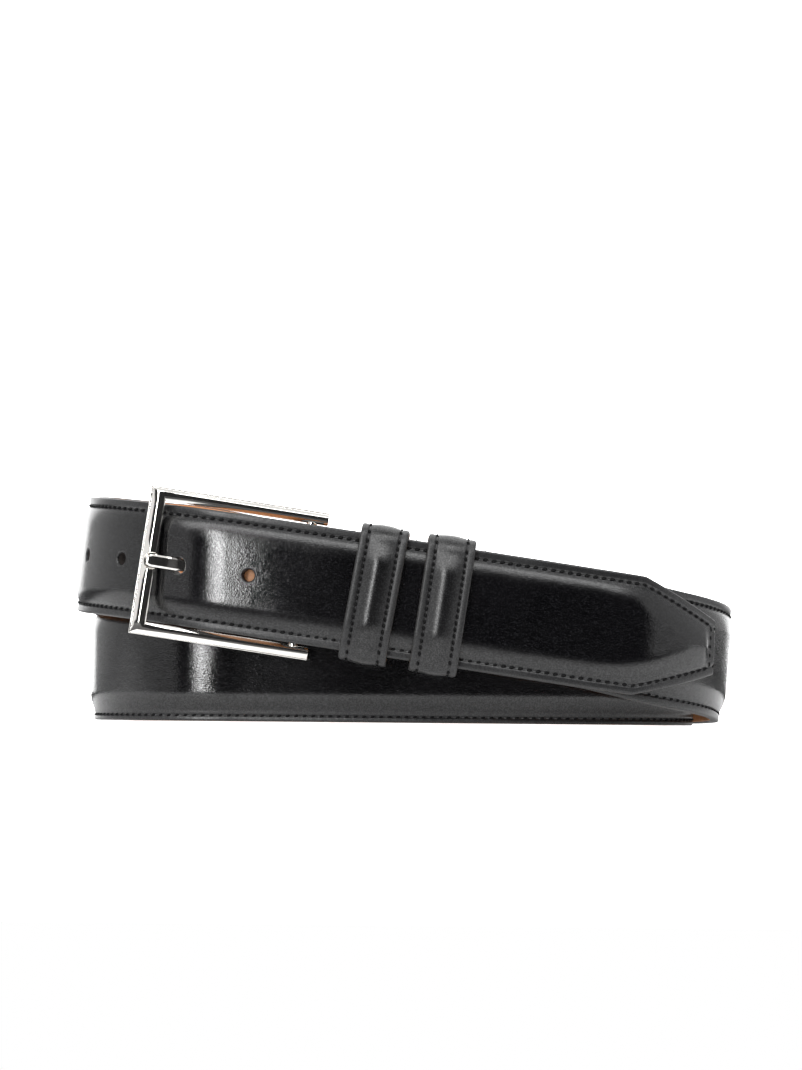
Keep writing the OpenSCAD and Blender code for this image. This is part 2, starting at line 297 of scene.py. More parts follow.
# Places in from the edge, closest together at the stitch row
SKIN_D = (
    0.0, 0.06, 0.18, 0.36, 0.6, 1.1, 1.3, 1.45, 1.6, 1.7, 1.8, 1.95, 2.1, 2.3, 2.45, 2.6, 2.75,
    2.9, 3.15, 3.5, 3.9, 4.3, 4.7, 5.1, 5.5, 5.9, 6.3, 6.7, 7.1, 7.5, 7.8, 8.1, 8.5, 9.0, 9.6,
    10.2, 11.0, 12.2, 14.4,
)


def stitch_phase(s):
    """0 halfway along a stitch, 1 at the hole between two stitches."""
    return 0.5 + 0.5 * math.cos(2 * math.pi * s / STITCH_PITCH)


def seam_in(q, side):
    """Distance of a stitch row from the edge; nearer it along the table."""
    return STITCH_IN - (0.9 * min(smooth(0.8, 1.3, q), 1 - smooth(4.9, 5.3, q)) if side < 0 else 0)


def skin_top(d, h, p, s, row):
    """Height of the outer leather above the lining, d in from the edge."""
    n = EDGE_T
    if d < 0.6:
        n = EDGE_T - 0.6 + math.sqrt(0.36 - (0.6 - d) ** 2)
    hole = stitch_phase(s)
    n -= (0.16 + 0.42 * hole**2) * math.exp(-(((d - row) / 0.42) ** 2))
    n -= 0.08 * math.exp(-(((d - row) / 0.95) ** 2))
    d -= h - crown_half(s)
    width = SHOULDER + 3.2 * smooth(TIP_LEN + 12, 8, TIP_S - s)
    u = min(1, max(0, (d - MARGIN) / width))
    return n + p * (1 - (1 - u) ** 1.9) * smooth(MARGIN - 0.4, MARGIN + 0.8, d) * (CROWN_T - EDGE_T)


def spread(d, h):
    """A place in from the edge, moved to suit a strap of half width h."""
    if h < 8:
        return d * (h / 8.0)
    return d if d < 7.4 else 7.4 + (d - 7.4) * (h - 7.4) / (HALF - 7.4)


def on_strap(q, h, section):
    """Points of a (height, across) section at a place, with their across and inset values."""
    c, out, across, _ = axes(q)
    points = [c + n * out + w * across for n, w in section]
    return points, [w for _, w in section], [h - abs(w) for _, w in section]


def skin_ring(q, s, bottom=0.4):
    h = half_at(s)
    p = padding(s)
    ds = [spread(d, h) for d in SKIN_D]
    low = [(skin_top(d, h, p, s, seam_in(q, -1)), d - h) for d in ds]
    high = [(skin_top(d, h, p, s, STITCH_IN), h - d) for d in ds]
    top = low + [(skin_top(h, h, p, s, STITCH_IN), 0)] + high[::-1]
    end = smooth(0, 0.7, TIP_S - s)
    top = [(n - (1 - end) * max(0, n - 2.5), w) for n, w in top]
    side = bottom + 0.25
    return on_strap(q, h, top + [(side, h), (bottom, h - 0.3), (bottom, 0), (bottom, 0.3 - h), (side, -h)])


def lining_ring(q, s):
    h = half_at(s) - 0.35
    side = [(0.5, h), (0.12, h), (0, h - 0.15), (0, h - 2.6), (0, h / 2)]
    return on_strap(q, h, [(n, -w) for n, w in side] + [(0, 0)] + side[::-1])


def grid(s0, s1, step):
    """Places along the strap, on the stitches' own spacing."""
    first, last = math.ceil((s0 + 0.1) / step), math.floor((s1 - 0.1) / step)
    return [s0] + [k * step for k in range(first, last + 1)] + [s1]


def strap_piece(name, ring, s0, s1, step, material, ends=()):
    rings, ws, ds, ss = [], [], [], []
    for s in sorted(set(grid(s0, s1, step)) | set(ends)):
        pts, w, d = ring(q_at(s), s)
        rings.append(np.array(pts))
        ws += w
        ds += d
        ss += [s] * len(w)
    return loft(name, rings, material, 35, {"along": ss, "across": ws, "inset": ds})


def stitch_mesh(frames, size, name, dip=0.28):
    """Short rounded stitches, one for each (origin, outward, across, along)."""
    length, radius = size
    lean = 0.12
    ts = (-1.0, -0.82, -0.45, 0, 0.45, 0.82, 1.0)
    rs = (0.35, 0.75, 0.96, 1, 0.96, 0.75, 0.35)
    m = 8
    verts, faces = [], []
    for c, out, across, along in frames:
        base = len(verts)
        for t, r in zip(ts, rs):
            mid = c + along * t * length / 2 + out * (-dip * abs(t) ** 3) + across * lean * t
            for k in range(m):
                a = 2 * math.pi * k / m
                verts.append(mid + radius * r * (math.cos(a) * across + 0.85 * math.sin(a) * out))
        n = len(ts)
        for i in range(n - 1):
            for k in range(m):
                a, b = base + i * m + k, base + i * m + (k + 1) % m
                faces.append((a, b, b + m, a + m))
        faces.append(tuple(base + k for k in reversed(range(m))))
        faces.append(tuple(base + (n - 1) * m + k for k in range(m)))
    return new_object(name, verts, faces, THREAD, 60)


def row_frames(s0, s1, side):
    """Where the stitches of one edge lie between two lengths along the strap."""
    frames = []
    first, last = math.ceil(s0 / STITCH_PITCH - 0.5), math.floor(s1 / STITCH_PITCH - 0.5)
    for k in range(first, last + 1):
        s = (k + 0.5) * STITCH_PITCH
        if s < s0 + 0.6 or s > s1 - 0.6:
            continue
        q = q_at(s)
        w = side * (half_at(s) - seam_in(q, side))
        c, out, across, along = axes(q)
        w2 = side * (half_at(s + 1) - seam_in(q_at(s + 1), side))
        d = along + across * (w2 - w)
        frames.append((c + out * SEAT + across * w, out, across, d / np.linalg.norm(d)))
    return frames


def join(objects, name):
    """One mesh from several, in order."""
    bm = bmesh.new()
    materials = []
    for o in objects:
        start = len(bm.faces)
        bm.from_mesh(o.data)
        bm.faces.ensure_lookup_table()
        if o.data.materials[0] not in materials:
            materials.append(o.data.materials[0])
        index = materials.index(o.data.materials[0])
        for f in bm.faces[start:]:
            f.material_index = index
    mesh = bpy.data.meshes.new(name)
    bm.to_mesh(mesh)
    bm.free()
    for m in materials:
        mesh.materials.append(m)
    obj = bpy.data.objects.new(name, mesh)
    bpy.context.scene.collection.objects.link(obj)
    for o in objects:
        bpy.data.objects.remove(o)
    return obj


def settle(obj):
    """Bakes an object's modifiers into its mesh."""
    bpy.context.view_layer.update()
    evaluated = obj.evaluated_get(bpy.context.evaluated_depsgraph_get())
    done = bpy.data.meshes.new_from_object(evaluated)
    obj.modifiers.clear()
    obj.data = done


def cut(obj, cutters, operation="DIFFERENCE"):
    for c in cutters:
        m = obj.modifiers.new("cut", "BOOLEAN")
        m.operation = operation
        m.object = c
        m.solver = "EXACT"
        m.material_mode = "TRANSFER"
    settle(obj)
    obj.data.set_sharp_from_angle(angle=math.radians(25))
    for c in cutters:
        bpy.data.objects.remove(c)


def bevelled(obj, width, angle):
    m = obj.modifiers.new("edge", "BEVEL")
    m.width = width * MM
    m.segments = 2
    m.limit_method = "ANGLE"
    m.angle_limit = math.radians(angle)
    settle(obj)


def matrix_at(q):
    """Frame of a place on the strap: X along it, Y inward, Z across it."""
    c, out, across, along = axes(q)
    m = np.eye(4)
    m[:3, 0] = along
    m[:3, 1] = -out
    m[:3, 2] = across
    m[:3, 3] = c
    return m


def bar_matrix():
    return Matrix.Translation(Vector(place(CHAPE, -BAR_BEHIND, 0))) @ Matrix.Rotation(RUN_TILT, 4, "Y")


def buckle_matrix():
    return np.array(bar_matrix() @ Matrix.Rotation(FRAME_YAW, 4, "Z"))


def moved(matrix, points):
    p = np.asarray(points, float)
    return p @ matrix[:3, :3].T + matrix[:3, 3]


# ---------------------------------------------------------------- materials
def start_material(name):
    mat = bpy.data.materials.new(name)
    mat.use_nodes = True
    nt = mat.node_tree
    nt.nodes.clear()
    out = nt.nodes.new("ShaderNodeOutputMaterial")
    bsdf = nt.nodes.new("ShaderNodeBsdfPrincipled")
    nt.links.new(bsdf.outputs[0], out.inputs[0])
    return mat, nt, bsdf


def node(nt, kind, inputs=None, **settings):
    n = nt.nodes.new(kind)
    for k, v in settings.items():
        setattr(n, k, v)
    for k, v in (inputs or {}).items():
        if isinstance(v, bpy.types.NodeSocket):
            nt.links.new(v, n.inputs[k])
        else:
            n.inputs[k].default_value = v
    return n


def noise(nt, coord, scale, detail=2.0, rough=0.5):
    inputs = {"Vector": coord, "Scale": scale, "Detail": detail, "Roughness": rough}
    return node(nt, "ShaderNodeTexNoise", inputs).outputs[0]


def cell_distance(nt, coord, scale, inputs=None):
    inputs = {"Vector": coord, "Scale": scale, **(inputs or {})}
    return node(nt, "ShaderNodeTexVoronoi", inputs).outputs["Distance"]


def position(nt):
    return node(nt, "ShaderNodeNewGeometry").outputs["Position"]


def mixed(nt, share, a, b):
    return node(nt, "ShaderNodeMix", {0: share, 6: a, 7: b}, data_type="RGBA").outputs[2]


def ranged(nt, value, a, b, c, d):
    return node(nt, "ShaderNodeMapRange", {0: value, 1: a, 2: b, 3: c, 4: d}).outputs[0]


def maths(nt, op, a, b):
    return node(nt, "ShaderNodeMath", {0: a, 1: b}, operation=op).outputs[0]


def ramp(nt, value, stops):
    n = node(nt, "ShaderNodeValToRGB", {0: value})
    n.color_ramp.elements[0].position, n.color_ramp.elements[0].color = stops[0]
    n.color_ramp.elements[1].position, n.color_ramp.elements[1].color = stops[-1]
    for pos, col in stops[1:-1]:
        n.color_ramp.elements.new(pos).color = col
    return n.outputs[0]


def bump(nt, bsdf, layers):
    """Bump from (height, strength, distance in metres) layers, one after another."""
    last = None
    for height, strength, distance in layers:
        inputs = {"Strength": strength, "Distance": distance, "Height": height}
        if last:
            inputs["Normal"] = last
        last = node(nt, "ShaderNodeBump", inputs).outputs[0]
    nt.links.new(last, bsdf.inputs["Normal"])


def black_leather(name, gloss=0.115, margin=True):
    """Polished calf: near-black, fine pores and faint creases, duller along the stitched margins."""
    mat, nt, bsdf = start_material(name)
    pos = position(nt)
    cells = cell_distance(nt, pos, 2600.0, {"Randomness": 0.9})
    fine = noise(nt, pos, 5200.0, 2.0, 0.6)
    soft = noise(nt, pos, 240.0, 3.0, 0.55)
    blotch = noise(nt, pos, 45.0, 2.0, 0.5)
    fine_rough = ranged(nt, fine, 0.3, 0.7, -0.035, 0.04)
    rough = maths(nt, "ADD", fine_rough, ranged(nt, blotch, 0.3, 0.7, gloss - 0.02, gloss + 0.03))
    colour = ramp(nt, blotch, [(0.3, (0.0008, 0.0008, 0.001, 1)), (0.7, (0.0016, 0.0015, 0.0019, 1))])
    pores = noise(nt, pos, 2400.0, 1.0, 0.5)
    specks = ranged(nt, pores, 0.52, 0.72, 0.0, 1.0)
    colour = mixed(nt, specks, colour, (0.007, 0.007, 0.008, 1))
    if margin:
        inset = node(nt, "ShaderNodeAttribute", attribute_name="inset").outputs["Fac"]
        worn = ranged(nt, inset, 4.4, 2.4, 0.0, 1.0)
        shoulder = ranged(nt, inset, 9.2, 4.4, 0.0, 0.14)
        edge = ranged(nt, inset, 0.5, 0.05, 0.0, 1.0)
        rough = maths(nt, "ADD", rough, maths(nt, "ADD", shoulder, maths(nt, "MULTIPLY", worn, 0.09)))
        colour = mixed(nt, worn, colour, (0.006, 0.006, 0.0066, 1))
        colour = mixed(nt, edge, colour, (0.01, 0.0095, 0.0095, 1))
        rough = maths(nt, "ADD", rough, maths(nt, "MULTIPLY", edge, 0.12))
    nt.links.new(colour, bsdf.inputs["Base Color"])
    nt.links.new(rough, bsdf.inputs["Roughness"])
    nt.links.new(ranged(nt, pores, 0.36, 0.66, 0.38, 0.62), bsdf.inputs["Specular IOR Level"])
    grain = noise(nt, pos, 1200.0, 2.0, 0.55)
    bump(nt, bsdf, [
        (soft, 0.1, 0.0004), (grain, 0.3, 0.00006), (cells, 0.5, 0.000026), (fine, 0.2, 0.00002),
    ])
    return mat


def tan_leather(name):
    """Vegetable-tanned lining: tan, with pores and faint wrinkles along the strap."""
    mat, nt, bsdf = start_material(name)
    pos = position(nt)
    blotch = noise(nt, pos, 60.0, 4.0, 0.6)
    fibre = noise(nt, pos, 900.0, 3.0, 0.6)
    cells = cell_distance(nt, pos, 1700.0)
    colour = ramp(nt, blotch, [
        (0.25, (0.36, 0.15, 0.055, 1)), (0.5, (0.46, 0.2, 0.075, 1)), (0.75, (0.54, 0.25, 0.1, 1)),
    ])
    colour = mixed(nt, ranged(nt, fibre, 0.35, 0.65, 0.0, 0.35), colour, (0.3, 0.12, 0.045, 1))
    nt.links.new(colour, bsdf.inputs["Base Color"])
    nt.links.new(ranged(nt, fibre, 0.3, 0.7, 0.42, 0.6), bsdf.inputs["Roughness"])
    bump(nt, bsdf, [(blotch, 0.2, 0.0005), (cells, 0.25, 0.0001), (fibre, 0.3, 0.00008)])
    return mat


def raw_leather(name, dark, light):
    """Fibrous cut wall of a punched hole; the same dark material is also the painted shade in the holes."""
    mat, nt, bsdf = start_material(name)
    pos = position(nt)
    fibre = noise(nt, pos, 2500.0, 4.0, 0.7)
    colour = ramp(nt, fibre, [(0.3, dark), (0.7, light)])
    nt.links.new(colour, bsdf.inputs["Base Color"])
    nt.links.new(ranged(nt, fibre, 0.3, 0.7, 0.7, 0.9), bsdf.inputs["Roughness"])
    bump(nt, bsdf, [(fibre, 0.6, 0.0001)])
    return mat


def thread_material(name):
    """Waxed black thread with a fine ply."""
    mat, nt, bsdf = start_material(name)
    pos = position(nt)
    turn = node(nt, "ShaderNodeMapping", {"Vector": pos, "Rotation": (0.6, 0.5, 0.7)}).outputs[0]
    inputs = {"Vector": turn, "Scale": 900.0, "Distortion": 1.5, "Detail": 1.0}
    ply = node(nt, "ShaderNodeTexWave", inputs).outputs[1]
    fuzz = noise(nt, pos, 6000.0, 2.0, 0.6)
    colour = ramp(nt, ply, [(0.0, (0.0008, 0.0008, 0.0009, 1)), (1.0, (0.003, 0.003, 0.0033, 1))])
    nt.links.new(colour, bsdf.inputs["Base Color"])
    nt.links.new(ranged(nt, fuzz, 0.3, 0.7, 0.42, 0.6), bsdf.inputs["Roughness"])
    bsdf.inputs["Specular IOR Level"].default_value = 0.12
    bump(nt, bsdf, [(ply, 0.5, 0.00006), (fuzz, 0.3, 0.00003)])
    return mat


def nickel(name):
    """Polished nickel plate, warm grey, with faint polishing marks."""
    mat, nt, bsdf = start_material(name)
    pos = position(nt)
    long = node(nt, "ShaderNodeMapping", {"Vector": pos, "Scale": (1.0, 1.0, 0.15)}).outputs[0]
    marks = noise(nt, long, 3500.0, 3.0, 0.6)
    haze = noise(nt, pos, 160.0, 3.0, 0.5)
    colour = ramp(nt, haze, [(0.3, (0.74, 0.72, 0.69, 1)), (0.7, (0.8, 0.78, 0.745, 1))])
    nt.links.new(colour, bsdf.inputs["Base Color"])
    hazy, marked = ranged(nt, haze, 0.3, 0.7, 0.035, 0.075), ranged(nt, marks, 0.4, 0.8, 0.0, 0.03)
    nt.links.new(maths(nt, "ADD", hazy, marked), bsdf.inputs["Roughness"])
    bsdf.inputs["Metallic"].default_value = 1.0
    bump(nt, bsdf, [(haze, 0.04, 0.0003), (marks, 0.03, 0.00003)])
    return mat


BLACK = black_leather("black_leather")
KEEPER_BLACK = black_leather("keeper_leather", gloss=0.21)
FOLD_BLACK = black_leather("fold_leather", gloss=0.34, margin=False)
TAN = tan_leather("tan_lining")
# Dark cut walls of the holes and of the prong's channel; the same material colours the discs of painted
# shade in the holes
HOLE_WALL_AND_SHADE = raw_leather("dark_cut_leather_and_painted_shade", (0.006, 0.005, 0.005, 1), (0.03, 0.022, 0.018, 1))
THREAD = thread_material("black_thread")
NICKEL = nickel("polished_nickel")


# ---------------------------------------------------------------- strap
S_CHAPE = length_at(CHAPE_START)
S_BEND, S_LAP, S_HOLE, S_FLEX = (
    round(length_at(q) / STITCH_PITCH) * STITCH_PITCH for q in (BEND, LAP, SPLIT, FLEX)
)
STEP = STITCH_PITCH / 4
COARSE, FINE = 2.5, 1.25
TIP_ENDS = [TIP_S - d for d in (0.9, 0.6, 0.35, 0.15, 0.05)]


def tip_rows(s0, name):
    """The rows along both edges of the tip and the row across its end."""
    frames = row_frames(s0, TIP_S - 3.1, 1) + row_frames(s0, TIP_S - 3.1, -1)
    c, out, across, along = axes(q_at(TIP_S - STITCH_IN))
    span = 2 * (half_at(TIP_S - STITCH_IN) - STITCH_IN) + 0.6
    n = round(span / STITCH_PITCH)
    for k in range(n):
        w = (k + 0.5) * span / n - span / 2
        frames.append((c + out * SEAT + across * w, out, -along, across))
    return stitch_mesh(frames, STITCH, name)


def hole_cutter(q, radius, name):
    """A punch with a rounded shoulder, so that the hole's rim rolls in."""
    m = matrix_at(q)
    rim = [
        (-CROWN_T - 0.05 + 0.75 * (1 - math.cos(a)), radius + HOLE_RIM * (1 - math.sin(a)))
        for a in np.linspace(0, math.pi / 2, 7)
    ]
    profile = [(-9.0, radius + HOLE_RIM + 2), *rim, (4.0, radius)]
    cutter = loft(name, [moved(m, circle(r, y)) for y, r in profile[::-1]], FOLD_BLACK, 60)
    cutter.data.materials.append(HOLE_WALL_AND_SHADE)
    for f in cutter.data.polygons[:40]:
        f.material_index = 1
    return cutter


def prong_channel():
    """The space that the prong takes up on its way through the strap."""
    half, low, points = PRONG_W / 2 + 0.35, 0.5, 24
    b = buckle_matrix()

    def rounded(v):
        return math.copysign(abs(v) ** 0.6, v)

    rings = []
    for x, top in (
        (-39.4, -2.5), (-36.0, -2.3), (-30.0, -2.4), (-26.0, -2.95), (-20.0, -3.3), (-6.0, -3.3),
    ):
        middle, reach = (top + low) / 2, (top - low) / 2
        turns = [2 * math.pi * k / points for k in range(points)]
        ring = [(x, middle + reach * rounded(math.sin(a)), half * rounded(math.cos(a))) for a in turns]
        rings.append(moved(b, ring))
    return loft("cutter_prong", rings, HOLE_WALL_AND_SHADE)


def hole_cutters(skip=0):
    cutters = []
    for i, q in enumerate(HOLES[skip:]):
        radius = PRONG_HOLE_R if i + skip == 1 else HOLE_R
        cutters.append(hole_cutter(q, radius, f"cutter_hole_{i}"))
    return cutters + [prong_channel()]


def two_lengths(kind, ring, step, material, name):
    """The coil and the short length held in the keepers, as one piece."""
    coil = strap_piece(f"{kind}_coil", ring, S_CHAPE, S_BEND, step, material)
    held = strap_piece(f"{kind}_held", ring, S_LAP, S_FLEX, step, material)
    return join([coil, held], name)


def two_rows(side, size, name):
    frames = row_frames(S_CHAPE, S_BEND, side) + row_frames(S_LAP, S_FLEX, side)
    return stitch_mesh(frames, size, name)


def finish_piece(obj, nodes, body="strap"):
    if nodes:
        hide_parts(*nodes)
    if body:
        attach(obj, body)
    return obj


skin = two_lengths("strap", skin_ring, STEP, BLACK, "strap_leather")
lining = two_lengths("lining", lining_ring, COARSE, TAN, "strap_inner_leather")
upper = two_rows(1, STITCH, "strap_stitches_upper")
lower = two_rows(-1, LOW_STITCH, "strap_stitches_lower")
finish_piece(skin, ["strap_outer", "strap_core"])
finish_piece(lining, ["strap_lining"])
finish_piece(upper, ["strap_thread_upper"])
finish_piece(lower, ["strap_thread_lower"])


def painted_shade_in_holes(s0, s1):
    """Painted shade: thin dark discs set a little way into the holes that show no lining, standing in for
    the shade inside them.
    """
    stops = []
    for i, q in enumerate(HOLES[2:]):
        if s0 < length_at(q) < s1:
            rings = [moved(matrix_at(q), circle(HOLE_R + 0.1, y)) for y in (-0.75, -0.45)]
            stops.append(loft(f"painted_hole_shade_{i}", rings, HOLE_WALL_AND_SHADE))
    return stops


def front_part(name, s0, s1):
    """Leather, lining and stitches of a length of the front run; the last hole's lining stays whole."""
    skin = strap_piece(f"front_leather_{name}", skin_ring, s0, s1, STEP, BLACK)
    inner = strap_piece(f"front_lining_{name}", lining_ring, s0, s1, FINE, TAN)
    cut(skin, hole_cutters())
    cut(inner, hole_cutters(skip=1))
    # Painted shade: dark discs in the holes without lining, joined into the lining
    shade_discs = painted_shade_in_holes(s0, s1)
    if shade_discs:
        inner = join([inner] + shade_discs, inner.name)
    up = stitch_mesh(row_frames(s0, s1, 1), STITCH, f"front_stitches_upper_{name}")
    low = stitch_mesh(row_frames(s0, s1, -1), STITCH, f"front_stitches_lower_{name}")
    return skin, inner, up, low


def at_pivot(x):
    """A point x mm from the pivot bar, towards the arm ends."""
    p = moved(buckle_matrix(), [(x, 0, 0)])[0] * MM
    return tuple(float(v) for v in p)


FRONT_SLOTS = (
    ("black_leather", ("front_outer", "front_core")),
    ("tan_lining", ("front_lining",)),
    ("thread", ("front_thread_upper",)),
    ("thread", ("front_thread_lower",)),
)


def bent(objects, start, end):
    for o, (slot, nodes) in zip(objects, FRONT_SLOTS):
        finish_piece(o, nodes, None)
        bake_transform(o)


# The front run, in two lengths that meet near the prong: the left from the coil, the right on to the
# keepers
bent(front_part("left", S_BEND, S_HOLE), at_pivot(-68), at_pivot(-37))
bent(front_part("right", S_HOLE, S_LAP), at_pivot(3), at_pivot(-14))

tip = strap_piece("tip_leather", skin_ring, S_FLEX, TIP_S, STEP, BLACK, TIP_ENDS)
tip_inner = strap_piece("tip_inner_leather", lining_ring, S_FLEX, TIP_S - 0.3, FINE, TAN)
tip_thread = tip_rows(S_FLEX, "tip_stitches")
flex_from, flex_to = (tuple(place(q, EDGE_T, 0) * MM) for q in (FLEX, FLEX + 14 / QUARTER))
for o, slot, nodes in (
    (tip, "black_leather", ("tip_outer", "tip_core")),
    (tip_inner, "tan_lining", ("tip_lining",)),
    (tip_thread, "thread", ("tip_thread",)),
):
    finish_piece(o, nodes, None)
    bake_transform(o)


# ---------------------------------------------------------------- keepers
def keeper_loop(step=0.6):
    """Points round the inside of a keeper: (y, z, outward y, outward z, dome, length so far)."""
    top, front_r, back_r = KEEPER_H / 2 - 2 * WALL, 2.4, 0.8
    corners = (
        (-ROOM_FRONT, -top, front_r), (-ROOM_FRONT, top, front_r),
        (ROOM_BACK, top, back_r), (ROOM_BACK, -top, back_r),
    )
    pts = []
    n = len(corners)
    for i in range(n):
        y, z, r = corners[i]
        cy, cz = y - math.copysign(r, y), z - math.copysign(r, z)
        a0 = math.atan2(math.copysign(1, z), math.copysign(1, y))
        a = [a0 + math.radians(d) for d in (45, 30, 15, 0, -15, -30, -45)]
        for t in a:
            pts.append((cy + r * math.cos(t), cz + r * math.sin(t), math.cos(t), math.sin(t)))
        y2, z2, r2 = corners[(i + 1) % n]
        ny, nz = math.cos(a[-1]), math.sin(a[-1])
        start = np.array(pts[-1][:2])
        stop = np.array([y2 - math.copysign(r2, y2) + r2 * ny, z2 - math.copysign(r2, z2) + r2 * nz])
        k = max(2, int(np.linalg.norm(stop - start) / step))
        for j in range(1, k):
            p = start + (stop - start) * j / k
            pts.append((p[0], p[1], ny, nz))
    length = 0.0
    out = []
    for i, p in enumerate(pts):
        if i:
            length += math.dist(p[:2], pts[i - 1][:2])
        dome = smooth(ROOM_BACK, -ROOM_FRONT * 0.75, p[0])
        dome *= 1 - 0.7 * smooth(8.0, 18.0, abs(p[1]))
        fall = KEEPER_FALL * smooth(8.5, 17.5, abs(p[1])) * smooth(0, -ROOM_FRONT, p[0])
        out.append((p[0] + fall, *p[1:], dome, length))
    return out


def keeper_top(x, dome):
    """Thickness of a keeper, x from the middle of its width."""
    t = 2 * WALL
    e = KEEPER_W / 2 - abs(x)
    if e < 0.7:
        t -= 0.7 - math.sqrt(max(0, 0.49 - (0.7 - e) ** 2))
    t -= 0.35 * math.exp(-(((abs(x) - KEEPER_ROW) / 0.4) ** 2))
    u = min(1, abs(x) / 4.3)
    return t + dome * DOME * (1 - u * u) ** 1.35


KEEPER_X = (
    0, 0.7, 1.4, 2, 2.6, 3.2, 3.6, 3.9, 4.1, 4.2, 4.25, 4.4, 4.6, 4.8, 5.0, 5.4, 5.9, 6.3, 6.6,
    6.85, 6.96, 7,
)
KEEPER_BACK = [(6.7, 0.95), (0, 0.95), (-6.7, 0.95)]
KEEPER_LINING = (
    (-6.6, 1.0), (-6.75, 0.6), (-6.6, 0.1), (-6.0, 0), (0, 0), (6.0, 0), (6.6, 0.1), (6.75, 0.6),
    (6.6, 1.0), (0, 1.0),
)


def keeper_frames(m, loop):
    """Where the stitches along both edges of a keeper lie."""
    frames = []
    total = loop[-1][5] + math.dist(loop[0][:2], loop[-1][:2])
    n = round(total / KEEPER_PITCH)
    ys = np.array([p[:4] for p in loop] + [loop[0][:4]])
    ls = [p[5] for p in loop] + [total]
    t = 2 * WALL - 0.02
    turn = m[:3, :3]
    for side in (-1, 1):
        for k in range(n):
            s = (k + 0.5 + 0.25 * side) * total / n % total
            y, z, ny, nz = (float(np.interp(s, ls, ys[:, c])) for c in range(4))
            r = math.hypot(ny, nz)
            ny, nz = ny / r, nz / r
            o = moved(m, [(side * KEEPER_ROW, y + ny * t, z + nz * t)])[0]
            out, across, along = (turn @ np.array(v) for v in ((0, ny, nz), (1.0, 0, 0), (0, -nz, ny)))
            frames.append((o, out, across, along))
    return frames


def make_keeper(index, x0, lean=0.0):
    m = matrix_at(x0 / QUARTER) @ np.array(Matrix.Rotation(math.radians(lean), 4, "Y"))
    loop = keeper_loop()
    xs = [-x for x in KEEPER_X[:0:-1]] + list(KEEPER_X)
    skin, inner = [], []
    for y, z, ny, nz, dome, s in loop:
        ring = [(x, keeper_top(x, dome)) for x in xs] + KEEPER_BACK
        skin.append(moved(m, [(x, y + ny * t, z + nz * t) for x, t in ring]))
        inner.append(moved(m, [(x, y + ny * t, z + nz * t) for x, t in KEEPER_LINING]))
    inset = ([KEEPER_W / 2 - abs(x) for x in xs] + [0.5, 3, 0.5]) * len(loop)
    leather = loft(f"keeper_{index}_leather", skin, KEEPER_BLACK, 38, {"inset": inset}, loop=True)
    lining = loft(f"keeper_{index}_inner_leather", inner, TAN, 38, loop=True)
    stitches = stitch_mesh(keeper_frames(m, loop), KEEPER_STITCH, f"keeper_{index}_stitches")
    finish_piece(leather, [f"keeper_{index}_skin", f"keeper_{index}_filler"])
    finish_piece(lining, [f"keeper_{index}_lining"])
    finish_piece(stitches, [f"keeper_{index}_thread"])


make_keeper(1, -9.5, 1.6)
make_keeper(2, 10.4)


# ---------------------------------------------------------------- buckle
# Profiles of the frame as (share of the width from the outside in, depth), the front at -Y
BACK_EDGE = [(1.0, 1.2), (0.9, 1.5), (0.5, 1.5), (0.1, 1.5)]
RIM = [(0.0, 1.2), (0.0, -0.55), (0.03, -0.7), (0.08, -0.72), (0.1, -0.62), (0.125, -0.68)]
BAR_FACE = [
    (0.16, -0.76), (0.48, -1.45), (0.54, -1.52), (0.87, -1.5), (0.9, -1.46), (0.97, -1.17), (1.0, -1.05),
]
ARM_FACE = [
    (0.16, -0.78), (0.34, -1.42), (0.4, -1.5), (0.7, -1.47), (0.76, -1.42), (0.93, -1.12), (1.0, -0.9),
]


def frame_stations():
    """Places round the frame: (kind, side, position, how far the profile shrinks)."""
    end = BUCKLE_LEN - PIVOT_BACK
    arm = [(end, 0.14), (end - 0.12, 0.04), (end - 0.35, 0.0), (end - 20, 0), (end - 42, 0)]
    stations = [("arm", 1, x, shrink) for x, shrink in arm] + [("corner", 1, 0, 0)]
    stations += [("bar", 1, z, 0) for z in (17.5, 6.0, -6.0, -17.5)]
    return stations + [("corner", -1, 0, 0)] + [("arm", -1, x, shrink) for x, shrink in arm[::-1]]


def make_buckle():
    b = buckle_matrix()
    top = BUCKLE_H / 2
    rings = []
    for kind, side, v, shrink in frame_stations():
        pts = []
        for (ub, yb), (ua, ya) in zip(RIM + BAR_FACE + BACK_EDGE, RIM + ARM_FACE + BACK_EDGE):
            u, y = (ub, yb) if kind == "bar" else (ua, ya)
            u2 = 0.5 + (u - 0.5) * (1 - shrink)
            y2 = y * (1 - shrink)
            if kind == "arm":
                pts.append((v, y2, side * (top - u2 * ARM_W)))
            elif kind == "corner":
                pts.append((-PIVOT_BACK + ub * FRONT_BAR_W, (ya + yb) / 2, side * (top - ua * ARM_W)))
            else:
                pts.append((-PIVOT_BACK + u2 * FRONT_BAR_W, y2, v))
        rings.append(moved(b, pts))
    frame_piece = loft("buckle_metal", rings, NICKEL, 25)
    bevelled(frame_piece, 0.09, 24)
    dish = []
    for y, r in ((-3.0, 3.2), (-1.55, 2.75), (-1.3, 2.6), (-1.0, 2.45), (-0.8, 1.9), (-0.72, 0.9)):
        dish.append(moved(b, circle(r, y, 48, -44.7)))
    cut(frame_piece, [loft("cutter_dish", dish, NICKEL)])
    frame_piece.data.set_sharp_from_angle(angle=math.radians(28))
    finish_piece(frame_piece, ["buckle_frame"], "buckle")


PRONG_X = (
    0, -6, -14, -20, -22, -24, -26, -28, -30, -33, -36, -36.6, -37.2, -37.8, -38.4, -39, -39.6,
    -40.2, -41, -42, -44.2, -44.8, -45.3, -45.7, -46.0, -46.2, -46.35, -46.4,
)


